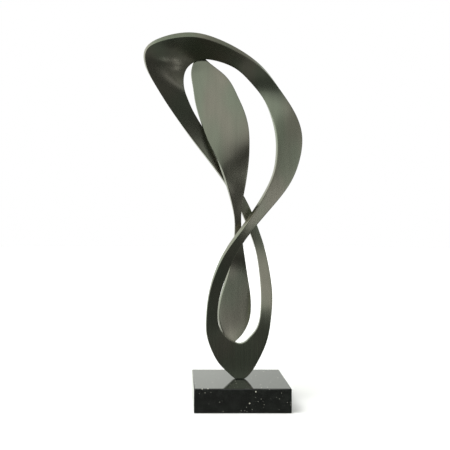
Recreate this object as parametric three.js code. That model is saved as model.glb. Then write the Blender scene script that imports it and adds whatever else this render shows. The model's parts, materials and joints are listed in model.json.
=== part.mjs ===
import * as THREE from 'three';

// An abstract sculpture of brushed steel plate on a square granite plinth, in millimetres, +Z up.
// A closed ribbon loops twice, as a figure eight that stands on a narrow foot. A double leaf stands
// in both loops, and its waist passes between the two limbs of the ribbon where they cross.
// The origin is the middle of the plinth's underside, and the front of the work faces -Y.

// The plinth
const plinthSide = 150;
const plinthHeight = 38;
const plinthChamfer = 1.5;

// The figure
const figureHeight = 550;
const plateThickness = 10;
const crossingClearance = 10;
const touchGap = 0.3;

// How finely the plates are faceted
const facetWidth = 20;
const facetsPerRibbonStation = 5;
const facetsPerLeafStation = 4;
const nudge = 0.01; // part of a station, to find which way a plate runs

// Units of the station tables below. Lengths are in per cent of the figure's height, measured from the
// middle of the plinth's top. A depth is a share of the reach that takes a crossing limb clear of the
// leaf's waist. A lean, in degrees, brings the left rim of a plate forward.
const percent = figureHeight / 100;
const crossingReach = plateThickness + crossingClearance;

// The ribbon, from its foot up the left of the lower loop, across in front of the leaf, up and over
// the upper loop, round the broad head, down behind the leaf and back along the right to the foot.
// A station is the middle of the plate, its width, and the way from there to its left rim: the
// bearing in the front view, in degrees from +X, and the lean.
const ribbonStations = [
  // across, up, depth, width, bearing, lean
  [0.2, 5.0, 0, 10.9, -90, 0], // foot
  [-2.2, 6.3, 0, 9.4, -101, 0],
  [-4.7, 8.5, 0, 7.4, -118, 0],
  [-7.0, 12.2, 0, 5.2, -137, 1],
  [-8.0, 16.8, -0.05, 3.5, -180, 3],
  [-7.6, 23.6, -0.25, 3.2, -191, 5],
  [-5.8, 30.3, -0.45, 3.4, -201, 11],
  [-3.2, 36.4, -0.72, 3.2, -206, 17],
  [0.3, 42.0, -0.97, 2.8, -216, 23], // crossing in front
  [5.2, 48.4, -0.82, 3.3, -209, 22],
  [10.9, 56.1, -0.33, 5.2, -200, 13],
  [14.0, 62.9, 0.1, 6.7, -187, 10],
  [15.0, 70.4, 0.35, 7.8, -177, 10],
  [13.6, 77.2, 0.53, 7.1, -167, 4],
  [10.2, 83.9, 0.6, 5.7, -158, -8], // right shoulder
  [5.5, 89.8, 0.35, 5.5, -144, -25],
  [-0.8, 94.2, -0.4, 5.4, -126, -45],
  [-8.9, 96.6, -1.35, 8.2, -94, -60], // top
  [-14.6, 96.6, -1.65, 11.3, -55, -57],
  [-19.3, 94.9, -1.65, 13.0, -36, -41],
  [-22.0, 91.9, -1.48, 13.7, -28, -24], // head
  [-21.5, 87.6, -1.23, 11.1, -19, -13],
  [-19.5, 83.6, -0.85, 9.1, -16, -8],
  [-16.5, 78.5, -0.33, 6.5, -2, -6],
  [-11.7, 71.5, 0.25, 4.7, 19, -7],
  [-7.5, 65.5, 0.52, 3.5, 36, -7],
  [-2.6, 58.2, 0.74, 2.8, 36, -7],
  [1.7, 50.9, 0.94, 2.8, 29, -6],
  [4.5, 44.3, 1.01, 2.8, 16, -3], // crossing behind
  [6.8, 37.3, 0.99, 2.8, 0, 0],
  [8.1, 28.6, 0.6, 3.2, 0, 0],
  [8.2, 22.3, 0.12, 3.3, 0, 0],
  [7.5, 16.2, -0.03, 3.4, -5, 0],
  [6.0, 11.8, 0, 4.8, -36, 0],
  [4.3, 8.8, 0, 6.8, -63, 0],
  [2.6, 6.4, 0, 9.2, -79, 0],
];

// Where the ends of the leaf meet the ribbon, in ribbon stations from and to.
const leafFootMeets = [1, 3];
const leafTipMeets = [17.5, 18.5];

// The leaf, from its lower end to its tip. The depth is left open at its ends, where the leaf lies
// against the back of the ribbon.
const leafStations = [
  // across, up, depth, width, lean
  [-2.3, 9.6, null, 0.9, 0], // lower end
  [-2.2, 10.3, null, 1.7, 4],
  [-1.9, 11.6, 0.6, 4.1, 8],
  [-1.6, 13.6, 0.72, 6.9, 12],
  [-1.3, 17.1, 0.88, 9.6, 15],
  [-1.0, 21.4, 1.02, 9.9, 15], // middle of the lower lobe
  [-0.6, 26.0, 1.14, 8.3, 15],
  [-0.2, 30.7, 1.2, 5.9, 13],
  [0.0, 35.9, 1.0, 3.9, 9],
  [-0.1, 40.7, 0.5, 2.5, 4],
  [-0.3, 46.1, 0.08, 1.9, 1], // waist
  [-0.6, 50.8, -0.04, 2.8, 4],
  [-0.9, 55.5, -0.15, 4.8, 11],
  [-1.3, 60.1, -0.33, 7.2, 17],
  [-2.0, 64.8, -0.48, 9.6, 10],
  [-3.1, 69.4, -0.55, 12.0, 4],
  [-4.1, 74.1, -0.48, 13.4, 1],
  [-5.5, 78.9, -0.33, 13.7, 0], // middle of the upper lobe
  [-6.8, 83.0, -0.18, 12.8, 0],
  [-7.9, 86.6, -0.05, 11.6, 0],
  [-9.5, 90.1, 0.08, 9.3, 2],
  [-11.1, 93.1, null, 4.9, 5],
  [-11.7, 95.2, null, 1.6, 5], // tip
];

// Every section of both plates has as many facets side by side as the widest place needs.
const widestPlace = Math.max(...[...ribbonStations, ...leafStations].map((row) => row[3])) * percent;
const stripsAcross = Math.ceil(widestPlace / facetWidth);

// Gives a function of the station number that runs smoothly through every row of numbers: a uniform
// cubic spline, closed on itself or running out straight at its ends.
function smoothThrough(rows, closed) {
  const last = rows.length - 1;
  const settlingPasses = 40;
  let knots = rows;
  const knot = (i) => {
    if (closed) return knots[(i + rows.length) % rows.length];
    if (i < 0) return knots[0].map((value, k) => 2 * value - knots[1][k]);
    if (i > last) return knots[last].map((value, k) => 2 * value - knots[last - 1][k]);
    return knots[i];
  };
  for (let pass = 0; pass < settlingPasses; pass += 1) {
    knots = rows.map((row, i) => {
      if (!closed && (i === 0 || i === last)) return row;
      return row.map((value, k) => (6 * value - knot(i - 1)[k] - knot(i + 1)[k]) / 4);
    });
  }
  return (station) => {
    const i = Math.min(Math.floor(station), closed ? last : last - 1);
    const t = station - i;
    const weights = [
      (1 - t) ** 3 / 6,
      (3 * t ** 3 - 6 * t ** 2 + 4) / 6,
      (-3 * t ** 3 + 3 * t ** 2 + 3 * t + 1) / 6,
      t ** 3 / 6,
    ];
    return rows[0].map((_, k) => weights.reduce((sum, weight, j) => sum + weight * knot(i - 1 + j)[k], 0));
  };
}

// A section of a plate is its middle, and the steps from there to its left rim and to its front face.
const ribbonNumbers = smoothThrough(ribbonStations, true);

function ribbonMiddle(station) {
  const count = ribbonStations.length;
  const [across, up, depth] = ribbonNumbers((station + count) % count);
  return new THREE.Vector3(across * percent, depth * crossingReach, plinthHeight + up * percent);
}

function towardsLeftRim(bearing, lean) {
  const forward = THREE.MathUtils.degToRad(lean);
  const turn = THREE.MathUtils.degToRad(bearing);
  const flat = Math.cos(forward);
  return new THREE.Vector3(flat * Math.cos(turn), -Math.sin(forward), flat * Math.sin(turn));
}

function ribbonSection(station) {
  const [, , , width, bearing, lean] = ribbonNumbers(station);
  const line = ribbonMiddle(station + nudge).sub(ribbonMiddle(station - nudge));
  const left = towardsLeftRim(bearing, lean).multiplyScalar(width * percent / 2);
  return { middle: ribbonMiddle(station), left, face: line.cross(left).setLength(plateThickness / 2) };
}

// The depth of the middle of a plate that lies against the back of the ribbon between two stations.
function depthBehindRibbon([from, to]) {
  const looks = 20;
  let rear = -Infinity;
  for (let i = 0; i <= looks; i += 1) {
    const { middle, left, face } = ribbonSection(from + (to - from) * i / looks);
    const back = middle.clone().sub(face);
    rear = Math.max(rear, back.y + left.y, back.y - left.y);
  }
  return rear + touchGap + plateThickness / 2;
}

// The leaf's sections are level, so its bearing is always straight across.
function leafSections() {
  const footDepth = depthBehindRibbon(leafFootMeets) / crossingReach;
  const tipDepth = depthBehindRibbon(leafTipMeets) / crossingReach;
  const last = leafStations.length - 1;
  const numbers = smoothThrough(leafStations.map(([across, up, depth, width, lean], i) => {
    const endDepth = i < last / 2 ? footDepth : tipDepth;
    return [across, up, depth ?? endDepth, width, lean];
  }), false);
  const leafMiddle = (station) => {
    const [across, up, depth] = numbers(THREE.MathUtils.clamp(station, 0, last));
    return new THREE.Vector3(across * percent, depth * crossingReach, plinthHeight + up * percent);
  };
  const sections = [];
  for (let i = 0; i <= last * facetsPerLeafStation; i += 1) {
    const station = i / facetsPerLeafStation;
    const [, , , width, lean] = numbers(station);
    const line = leafMiddle(station + nudge).sub(leafMiddle(station - nudge));
    const left = towardsLeftRim(180, lean).multiplyScalar(width * percent / 2);
    sections.push({ middle: leafMiddle(station), left, face: line.cross(left).setLength(plateThickness / 2) });
  }
  return sections;
}

// Skins a plate over its sections. The points of a section run along the front face from the left rim
// to the right rim, and back along the rear face.
function plateGeometry(sections, closed) {
  const around = 2 * (stripsAcross + 1);
  const points = [];
  for (const { middle, left, face } of sections) {
    for (let j = 0; j < around; j += 1) {
      const front = j <= stripsAcross;
      const share = front ? 1 - 2 * j / stripsAcross : 2 * (j - stripsAcross - 1) / stripsAcross - 1;
      points.push(middle.clone().addScaledVector(left, share).addScaledVector(face, front ? 1 : -1));
    }
  }
  const triangles = [];
  const spans = closed ? sections.length : sections.length - 1;
  for (let i = 0; i < spans; i += 1) {
    const here = i * around;
    const next = ((i + 1) % sections.length) * around;
    for (let j = 0; j < around; j += 1) {
      const beside = (j + 1) % around;
      triangles.push(here + j, here + beside, next + beside, here + j, next + beside, next + j);
    }
  }
  if (!closed) {
    const end = (sections.length - 1) * around;
    for (let j = 0; j < stripsAcross; j += 1) {
      const rear = around - 1 - j;
      triangles.push(j, rear - 1, j + 1, j, rear, rear - 1);
      triangles.push(end + j, end + j + 1, end + rear - 1, end + j, end + rear - 1, end + rear);
    }
  }
  const geometry = new THREE.BufferGeometry().setFromPoints(points);
  geometry.setIndex(triangles);
  return geometry;
}

// The foot of the ribbon is cut off flat where it stands on the plinth.
function ribbonGeometry() {
  const sections = [];
  for (let i = 0; i < ribbonStations.length * facetsPerRibbonStation; i += 1) {
    sections.push(ribbonSection(i / facetsPerRibbonStation));
  }
  const geometry = plateGeometry(sections, true);
  const position = geometry.getAttribute('position');
  for (let i = 0; i < position.count; i += 1) {
    position.setZ(i, Math.max(position.getZ(i), plinthHeight + touchGap));
  }
  return geometry;
}

// The block has a fine chamfer on every edge.
function plinthGeometry() {
  const half = plinthSide / 2 - plinthChamfer;
  const corner = half - plinthChamfer;
  const outline = new THREE.Shape([
    new THREE.Vector2(-corner, -half),
    new THREE.Vector2(corner, -half),
    new THREE.Vector2(half, -corner),
    new THREE.Vector2(half, corner),
    new THREE.Vector2(corner, half),
    new THREE.Vector2(-corner, half),
    new THREE.Vector2(-half, corner),
    new THREE.Vector2(-half, -corner),
  ]);
  return new THREE.ExtrudeGeometry(outline, {
    depth: plinthHeight - 2 * plinthChamfer,
    bevelThickness: plinthChamfer,
    bevelSize: plinthChamfer,
    bevelSegments: 1,
  }).translate(0, 0, plinthChamfer);
}

function piece(name, geometry, material) {
  const mesh = new THREE.Mesh(geometry, material);
  mesh.name = name;
  geometry.computeVertexNormals();
  return mesh;
}

const brushedSteel = new THREE.MeshStandardMaterial({ color: 0x5c5f55, metalness: 1, roughness: 0.35 });
const blackGranite = new THREE.MeshStandardMaterial({ color: 0x1c1f1d, metalness: 0, roughness: 0.1 });

const sculpture = new THREE.Group();
sculpture.add(piece('loop_ribbon', ribbonGeometry(), brushedSteel));
sculpture.add(piece('leaf_blade', plateGeometry(leafSections(), false), brushedSteel));
sculpture.add(piece('granite_plinth', plinthGeometry(), blackGranite));

export default sculpture;
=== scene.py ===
"""An abstract sculpture of brushed steel plate on a polished black granite plinth, in metres."""

import json
import math

import bpy
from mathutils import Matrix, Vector

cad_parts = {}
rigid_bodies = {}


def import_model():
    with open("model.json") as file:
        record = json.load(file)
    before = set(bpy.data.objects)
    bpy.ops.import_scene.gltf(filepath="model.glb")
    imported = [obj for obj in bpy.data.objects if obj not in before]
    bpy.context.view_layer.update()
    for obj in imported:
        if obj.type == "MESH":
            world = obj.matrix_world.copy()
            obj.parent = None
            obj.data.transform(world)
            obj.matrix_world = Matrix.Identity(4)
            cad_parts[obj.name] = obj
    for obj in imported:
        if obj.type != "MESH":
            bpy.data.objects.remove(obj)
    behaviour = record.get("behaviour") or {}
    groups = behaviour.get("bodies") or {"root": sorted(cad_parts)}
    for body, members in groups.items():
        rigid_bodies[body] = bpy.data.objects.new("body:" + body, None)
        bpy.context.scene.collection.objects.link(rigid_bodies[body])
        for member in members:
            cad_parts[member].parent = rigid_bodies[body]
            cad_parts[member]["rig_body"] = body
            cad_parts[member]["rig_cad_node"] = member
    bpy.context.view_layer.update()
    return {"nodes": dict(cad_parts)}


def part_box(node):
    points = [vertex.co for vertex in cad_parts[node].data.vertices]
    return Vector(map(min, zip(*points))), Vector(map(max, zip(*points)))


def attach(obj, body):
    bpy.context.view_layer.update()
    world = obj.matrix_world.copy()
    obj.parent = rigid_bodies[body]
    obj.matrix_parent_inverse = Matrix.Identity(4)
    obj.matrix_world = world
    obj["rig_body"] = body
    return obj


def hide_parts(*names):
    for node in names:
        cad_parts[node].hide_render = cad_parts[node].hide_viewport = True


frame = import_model()

# The view
PHOTO_SIDE = 450  # pixels
FOCAL_LENGTH = 785  # pixels
LEVEL_POINT = (174.9, 214.1)  # pixel that the camera looks straight at
CAMERA_PLACE = (-0.104, -1.275, 0.305)
SENSOR = 36  # millimetres

# The metal plates
PLATE_EDGE_RADIUS = 0.0007
EDGE_STEPS = 2  # facets across a rim or a chamfer
SMOOTHING_LEVELS = 2
SHARP_EDGE = math.radians(50)
SAME_POINT = 1e-5  # corners closer than this are one
GREEN_STEEL = (0.25, 0.278, 0.215)
WARM_STEEL = (0.284, 0.275, 0.226)
STEEL_SHADES = (0.8, 1.2)  # the darkest and the lightest streaks, as shares of those colours
STEEL_ROUGHNESS = 0.26
ROUGHNESS_CHANGE = 0.1  # from the finest line of the grain to the next

# Patterns in the metal, as waves in a metre along X, Y and Z, and the share of each in its tone
GRAIN = (900, 900, 12)
GRAIN_SHARE = 0.2
STREAKS = (150, 150, 5)
STREAK_SHARE = 0.6
CLOUDS = (14, 14, 7)
CLOUD_SHARE = 0.3
HUES = (22, 22, 9)
HUE_RANGE = (0.35, 0.65)
STREAK_HEIGHT = 0.3  # where the grain's is 1
GRAIN_STRENGTH = 0.07
GRAIN_DEPTH = 0.0003

# The plinth
PLINTH_CHAMFER = 0.0015
POLISHED_ANGLE = math.radians(20)
GRANITE = (0.0078, 0.0086, 0.0076, 1)
GRANITE_MOTTLE = (110, 110, 110)
MOTTLE_RANGE = (0.42, 0.68)
MOTTLE_SHADE = 1.6
GRANITE_FLECK = (0.5, 0.5, 0.42, 1)
LARGE_FLECK = (0.009, 0.0012, 0.42)  # spacing, radius, share that shows
SMALL_FLECK = (0.0045, 0.0007, 0.45)
SMALL_FLECK_SHADE = 0.5
FLECK_CORE = 0.6  # share of its radius that is fully pale
CHANCE_EDGE = 0.03  # flecks within this of their share show faintly
GRANITE_ROUGHNESS = 0.06
FLECK_ROUGHNESS = 0.1
GRANITE_IOR = 1.55

# The studio floor
FLOOR_RADIUS = 6
FLOOR_SIDES = 96
FLOOR_PAINT = (0.9, 0.9, 0.9, 1)
FLOOR_ROUGHNESS = 0.9
FLOOR_GLOW = 0.7
FLOOR_GLOW_REACH = (0.2, 2.5)  # distance from the plinth at which the glow starts to rise, and is full
FLOOR_GLOW_NEAR = (0.15, 0.15, 0.15, 1)
WHITE = (1, 1, 1, 1)

# The room that the metal mirrors. A direction has a share across to the right, a share back and a share up,
# each from -1 to 1. A part of the room begins at its first share and is full at its second. The third
# number, where there is one, is what the part adds.
ROOM_TINT = (0.97, 1.0, 0.93, 1)
LOWER_GLOW = 0.1
LOWER_NEAR_RIGHT = (0.12, 0.3, -0.04)
LOWER_FAR_RIGHT = (0.5, 0.68, 0.1)
STRAIGHT_DOWN = (0.5, 0.8, 0.1)
UPPER_GLOW = 0.4
UPPER_FAR_RIGHT = (0.5, 0.68, -0.2)
OVERHEAD = (0.5, 0.8, 0.25)
HORIZON = (0.0, 0.15)
HORIZON_RISE = (0.3, 0.6, -0.12)  # at the right a direction counts as lower than it is
WALL_GLOW = 1.1
LEFT_WALL = (0.3, 0.6)
LEFT_WALL_FOOT = (-0.3, 0.1)
BACK_WALL = (0.5, 0.9)
BACK_WALL_FOOT = (-0.6, -0.35)
BACK_WALL_RIGHT = (0.03, 0.13, -0.28)

# Softboxes, with centre, width, height and glow. Those in front face straight back.
FRONT_SOFTBOXES = {
    "front_softbox": ((-0.5, -1.1, 1.12), 1.6, 1.58, 0.42),
    "corner_softbox": ((0.41, -1.1, 0.46), 0.22, 0.26, 0.35),
    "right_softbox": ((0.3, -0.25, 0.265), 0.1, 0.27, 0.95),
    "upper_softbox": ((0.49, -0.4, 0.49), 0.32, 0.14, 0.55),
    "low_reflector": ((0.185, -0.4, 0.165), 0.09, 0.1, 0.85),
    "low_fill": ((0.275, -0.4, 0.15), 0.09, 0.13, 0.22),
}
TOP_SOFTBOX = ((-1.2, -0.8, 2.6), 1.6, 1.6, 7.5)
WORK_MIDDLE = (0, 0, 0.3)


class Signal:
    """An output in a node tree. Sums on signals that are plain numbers add Math nodes."""

    def __init__(self, tree, socket=None):
        self.tree = tree
        self.socket = socket

    def node(self, kind, settings=None, sockets=None, output=0):
        """Adds any other node: its settings come first, then the values or links of its sockets."""
        made = self.tree.nodes.new(kind)
        for name, value in (settings or {}).items():
            setattr(made, name, value)
        for name, value in (sockets or {}).items():
            if isinstance(value, Signal):
                self.tree.links.new(value.socket, made.inputs[name])
            else:
                made.inputs[name].default_value = value
        return Signal(self.tree, made.outputs[output] if made.outputs else None)

    def math(self, operation, first, second):
        return self.node("ShaderNodeMath", {"operation": operation}, {0: first, 1: second})

    def __add__(self, other):
        return self.math("ADD", self, other)

    def __radd__(self, other):
        return self.math("ADD", other, self)

    def __sub__(self, other):
        return self.math("SUBTRACT", self, other)

    def __rsub__(self, other):
        return self.math("SUBTRACT", other, self)

    def __mul__(self, other):
        return self.math("MULTIPLY", self, other)

    def __rmul__(self, other):
        return self.math("MULTIPLY", other, self)

    def ramp(self, begins, full, top=1.0):
        """Runs smoothly from 0 to its top while the signal goes from where it begins to where it is full."""
        return self.node(
            "ShaderNodeMapRange",
            {"interpolation_type": "SMOOTHSTEP"},
            {"Value": self, "From Min": begins, "From Max": full, "To Min": 0.0, "To Max": top},
        )

    def mix(self, first, second):
        """Goes from one colour to another as the signal goes from 0 to 1."""
        return self.node(
            "ShaderNodeMix", {"data_type": "RGBA"}, {"Factor": self, 6: first, 7: second}, output=2
        )


def new_material(name):
    material = bpy.data.materials.new(name)
    material.use_nodes = True
    material.node_tree.nodes.clear()
    return material, Signal(material.node_tree)


def finish_material(start, **sockets):
    """Adds the surface shader and the output."""
    named = {name.replace("_", " "): value for name, value in sockets.items()}
    shader = start.node("ShaderNodeBsdfPrincipled", None, named)
    start.node("ShaderNodeOutputMaterial", None, {"Surface": shader})


def shade(colour, share):
    """A lighter or darker shade of a colour."""
    return tuple(channel * share for channel in colour[:3]) + (1,)


def stretched_noise(place, waves, seed=0.0, detail=2.0):
    """Noise that is drawn out: waves has how many it has in a metre along X, Y and Z."""
    spread = place.node(
        "ShaderNodeMapping", None, {"Vector": place, "Scale": waves, "Location": (seed, seed, seed)}
    )
    return place.node("ShaderNodeTexNoise", None, {"Vector": spread, "Scale": 1.0, "Detail": detail})


def brushed_steel():
    """Dark steel, brushed upright: fine grain, broader streaks and a faint cloudiness."""
    material, start = new_material("brushed_steel")
    place = start.node("ShaderNodeTexCoord", output="Object")
    grain = stretched_noise(place, GRAIN)
    streaks = stretched_noise(place, STREAKS, seed=4.0)
    clouds = stretched_noise(place, CLOUDS, seed=9.0)
    tone = (streaks - 0.5) * STREAK_SHARE + (grain - 0.5) * GRAIN_SHARE + (clouds - 0.5) * CLOUD_SHARE + 0.5
    hue = stretched_noise(place, HUES, seed=17.0, detail=1.0).ramp(*HUE_RANGE)
    dark, light = [hue.mix(shade(GREEN_STEEL, share), shade(WARM_STEEL, share)) for share in STEEL_SHADES]
    relief = {"Height": grain + streaks * STREAK_HEIGHT, "Strength": GRAIN_STRENGTH, "Distance": GRAIN_DEPTH}
    finish_material(
        start,
        Base_Color=tone.mix(dark, light),
        Metallic=1.0,
        Roughness=(grain - 0.5) * ROUGHNESS_CHANGE + STEEL_ROUGHNESS,
        Normal=start.node("ShaderNodeBump", None, relief),
    )
    return material


def crystals(place, spacing, radius, share):
    """Specks of one mineral, one to a grain of the stone, of which only a share shows."""
    grains = {"Vector": place, "Scale": 1 / spacing}
    near = place.node("ShaderNodeTexVoronoi", None, grains, output="Distance")
    pick = place.node("ShaderNodeTexVoronoi", None, grains, output="Color")
    chance = place.node("ShaderNodeSeparateColor", None, {"Color": pick}, output="Red")
    speck = near.ramp(radius / spacing, radius * FLECK_CORE / spacing)
    return speck * chance.ramp(share + CHANCE_EDGE, share - CHANCE_EDGE)


def black_granite():
    """Polished black granite: a dark mottled body with pale flecks, few of them large."""
    material, start = new_material("black_granite")
    place = start.node("ShaderNodeTexCoord", output="Object")
    mottle = stretched_noise(place, GRANITE_MOTTLE).ramp(*MOTTLE_RANGE)
    large = crystals(place, *LARGE_FLECK)
    small = crystals(place, *SMALL_FLECK) * SMALL_FLECK_SHADE
    fleck = large + small - large * small
    finish_material(
        start,
        Base_Color=fleck.mix(mottle.mix(GRANITE, shade(GRANITE, MOTTLE_SHADE)), GRANITE_FLECK),
        Roughness=fleck * FLECK_ROUGHNESS + GRANITE_ROUGHNESS,
        IOR=GRANITE_IOR,
    )
    return material


def select_only(piece):
    bpy.ops.object.select_all(action="DESELECT")
    piece.select_set(True)
    bpy.context.view_layer.objects.active = piece


def apply_modifier(piece, kind, **settings):
    modifier = piece.modifiers.new(kind.lower(), kind)
    for name, value in settings.items():
        setattr(modifier, name, value)
    select_only(piece)
    bpy.ops.object.modifier_apply(modifier=modifier.name)


def hand_in(piece, node, material):
    """Gives a piece its material and its place on the part."""
    piece.data.materials.clear()
    piece.data.materials.append(material)
    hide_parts(node)
    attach(piece, "root")


def finished_plate(node, name, material):
    """A plate as it is cut and bent: a smooth copy of the solid with eased rims."""
    select_only(frame["nodes"][node])
    bpy.ops.object.duplicate()
    piece = bpy.context.active_object
    piece.name = name
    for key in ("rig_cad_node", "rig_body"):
        del piece[key]
    piece.parent = None
    bpy.ops.object.mode_set(mode="EDIT")
    bpy.ops.mesh.select_all(action="SELECT")
    bpy.ops.mesh.remove_doubles(threshold=SAME_POINT)
    bpy.ops.mesh.customdata_custom_splitnormals_clear()
    bpy.ops.mesh.tris_convert_to_quads(face_threshold=SHARP_EDGE, shape_threshold=math.pi)
    bpy.ops.mesh.select_mode(type="EDGE")
    bpy.ops.mesh.select_all(action="DESELECT")
    bpy.ops.mesh.edges_select_sharp(sharpness=SHARP_EDGE)
    bpy.ops.mesh.bevel(offset=PLATE_EDGE_RADIUS, segments=EDGE_STEPS, affect="EDGES")
    bpy.ops.object.mode_set(mode="OBJECT")
    apply_modifier(piece, "SUBSURF", levels=SMOOTHING_LEVELS, render_levels=SMOOTHING_LEVELS)
    bpy.ops.object.shade_smooth()
    hand_in(piece, node, material)


def plinth_block(material):
    """A square block, polished, with a fine chamfer."""
    low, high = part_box("granite_plinth")
    bpy.ops.object.select_all(action="DESELECT")
    bpy.ops.mesh.primitive_cube_add(size=1, location=(low + high) / 2, scale=high - low)
    piece = bpy.context.active_object
    piece.name = "polished_plinth"
    bpy.ops.object.transform_apply(location=True, rotation=True, scale=True)
    apply_modifier(piece, "BEVEL", width=PLINTH_CHAMFER, segments=EDGE_STEPS, limit_method="ANGLE")
    bpy.ops.object.shade_smooth_by_angle(angle=POLISHED_ANGLE)
    hand_in(piece, "granite_plinth", material)


def studio_floor():
    """A pale floor that glows more with the distance, so that it meets the white room."""
    bpy.ops.object.select_all(action="DESELECT")
    bpy.ops.mesh.primitive_circle_add(vertices=FLOOR_SIDES, radius=FLOOR_RADIUS, fill_type="NGON")
    floor = bpy.context.active_object
    floor.name = "studio_floor"
    material, start = new_material("pale_floor")
    place = start.node("ShaderNodeTexCoord", output="Object")
    away = place.node("ShaderNodeVectorMath", {"operation": "LENGTH"}, {0: place}, output="Value")
    finish_material(
        start,
        Base_Color=FLOOR_PAINT,
        Roughness=FLOOR_ROUGHNESS,
        Emission_Color=away.ramp(*FLOOR_GLOW_REACH).mix(FLOOR_GLOW_NEAR, WHITE),
        Emission_Strength=FLOOR_GLOW,
    )
    floor.data.materials.append(material)
    floor.visible_glossy = False


def room_glow(way):
    """How bright the room is each way: darker below, lighter above, white at the left and behind."""
    across, back, up = [
        way.node("ShaderNodeSeparateXYZ", None, {"Vector": way}, output=axis) for axis in "XYZ"
    ]
    low = LOWER_GLOW + across.ramp(*LOWER_NEAR_RIGHT) + across.ramp(*LOWER_FAR_RIGHT)
    low = low + (-1 * up).ramp(*STRAIGHT_DOWN)
    high = UPPER_GLOW + across.ramp(*UPPER_FAR_RIGHT) + up.ramp(*OVERHEAD)
    room = low + (high - low) * (up + across.ramp(*HORIZON_RISE)).ramp(*HORIZON)
    left_wall = (-1 * across).ramp(*LEFT_WALL) * up.ramp(*LEFT_WALL_FOOT)
    back_wall = back.ramp(*BACK_WALL) * up.ramp(*BACK_WALL_FOOT) * (1 + across.ramp(*BACK_WALL_RIGHT))
    wall = left_wall + back_wall - left_wall * back_wall
    return room + (WALL_GLOW - room) * wall


def studio_room():
    """The room is plain white to the camera and has its own glow in the metal, the stone and the light."""
    world = bpy.data.worlds.new("studio")
    bpy.context.scene.world = world
    world.use_nodes = True
    world.node_tree.nodes.clear()
    start = Signal(world.node_tree)
    glow = room_glow(start.node("ShaderNodeTexCoord", output="Generated"))
    to_camera = start.node("ShaderNodeLightPath", output="Is Camera Ray")
    light = {"Color": to_camera.mix(ROOM_TINT, WHITE), "Strength": glow + (1 - glow) * to_camera}
    background = start.node("ShaderNodeBackground", None, light)
    start.node("ShaderNodeOutputWorld", None, {"Surface": background})


def softbox(name, centre, width, height, glow, aim):
    """A soft rectangular light with an even glow."""
    bpy.ops.object.light_add(type="AREA", location=centre)
    lamp = bpy.context.active_object
    lamp.name = name
    lamp.data.shape = "RECTANGLE"
    lamp.data.size = width
    lamp.data.size_y = height
    lamp.data.energy = glow * math.pi * width * height
    lamp.rotation_euler = (Vector(aim) - Vector(centre)).to_track_quat("-Z", "Y").to_euler()
    lamp.visible_camera = False
    return lamp


def studio_lamps():
    """Softboxes that the metal mirrors, and one above the work that shows in no reflection."""
    for name, (centre, width, height, glow) in FRONT_SOFTBOXES.items():
        softbox(name, centre, width, height, glow, aim=(centre[0], 0, centre[2]))
    top = softbox("top_softbox", *TOP_SOFTBOX, aim=WORK_MIDDLE)
    top.visible_glossy = False


def camera():
    """A camera at the height and distance of the photograph's, level, with its picture shifted."""
    bpy.ops.object.camera_add(location=CAMERA_PLACE, rotation=(math.pi / 2, 0, 0))
    made = bpy.context.active_object
    made.data.sensor_width = SENSOR
    made.data.lens = FOCAL_LENGTH / PHOTO_SIDE * SENSOR
    made.data.shift_x = (PHOTO_SIDE / 2 - LEVEL_POINT[0]) / PHOTO_SIDE
    made.data.shift_y = (LEVEL_POINT[1] - PHOTO_SIDE / 2) / PHOTO_SIDE
    bpy.context.scene.camera = made


steel = brushed_steel()
finished_plate("loop_ribbon", "brushed_ribbon", steel)
finished_plate("leaf_blade", "brushed_leaf", steel)
plinth_block(black_granite())
studio_floor()
studio_room()
studio_lamps()
camera()
bpy.context.scene.view_settings.view_transform = "Standard"
